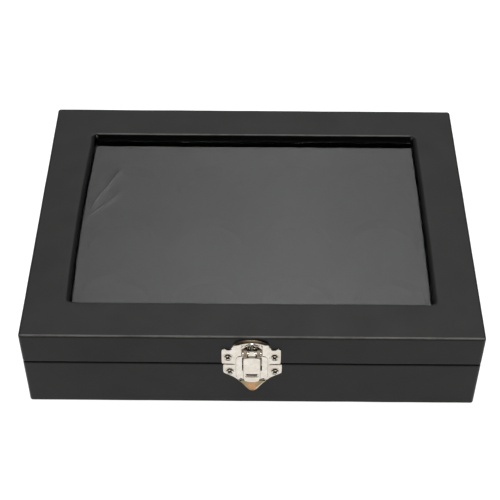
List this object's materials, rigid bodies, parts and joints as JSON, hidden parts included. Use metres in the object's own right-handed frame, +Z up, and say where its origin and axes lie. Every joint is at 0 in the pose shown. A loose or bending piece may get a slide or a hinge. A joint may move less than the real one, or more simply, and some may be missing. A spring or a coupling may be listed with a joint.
{
  "type": "coin display case",
  "caption": "Flat black leatherette case with a glazed hinged lid, a snap hasp on the front and an insert of round wells for coins.",
  "frame": {"origin": "centre of the case's rectangular bottom face, on the surface it stands on", "axes": "+Z up through the window, +X to the right as the hasp is seen from in front, -Y towards the hasp"},
  "size_m": [0.2, 0.1611, 0.045],
  "materials": {
    "board": "raw fibreboard",
    "leatherette": "black, fine grain, satin",
    "velvet_card": "card faced with black velvet",
    "black_card": "matt black",
    "foam": "soft foam",
    "pane": "clear, glossy",
    "film": "clear film",
    "nickel": "nickel-plated pressed steel"
  },
  "bodies": {
    "base": {"base_floor_board": "board", "base_front_wall": "board", "base_back_wall": "board", "base_left_wall": "board", "base_right_wall": "board", "base_cover": "leatherette", "bottom_sheet": "black_card", "base_lining": "velvet_card", "foam_pad": "foam", "tray_backer": "black_card", "coin_tray": "velvet_card", "left_hinge_base_leaf": "nickel", "left_hinge_pin": "nickel", "right_hinge_base_leaf": "nickel", "right_hinge_pin": "nickel", "hinge_base_screws": "nickel", "hasp_base_plate": "nickel", "hasp_base_screws": "nickel"},
    "lid": {"lid_front_wall": "board", "lid_back_wall": "board", "lid_left_wall": "board", "lid_right_wall": "board", "lid_front_rail": "board", "lid_back_rail": "board", "lid_left_rail": "board", "lid_right_rail": "board", "lid_cover": "leatherette", "window_pane": "pane", "pane_film": "film", "bead_front": "velvet_card", "bead_back": "velvet_card", "bead_left": "velvet_card", "bead_right": "velvet_card", "lid_lining": "velvet_card", "left_hinge_lid_leaf": "nickel", "right_hinge_lid_leaf": "nickel", "hinge_lid_screws": "nickel", "hasp_lid_plate": "nickel", "hasp_pin": "nickel", "hasp_lid_screws": "nickel"},
    "lever": {"hasp_lever": "nickel"}
  },
  "joints": [
    {"name": "lid_hinge", "type": "hinge", "parent": "base", "child": "lid", "pos_m": [0, 0.0783, 0.0278], "axis": [-1, 0, 0], "range_deg": [0, 105]},
    {"name": "lever_pivot", "type": "hinge", "parent": "lid", "child": "lever", "pos_m": [0, -0.0791, 0.0382], "axis": [-1, 0, 0], "range_deg": [0, 110]}
  ]
}
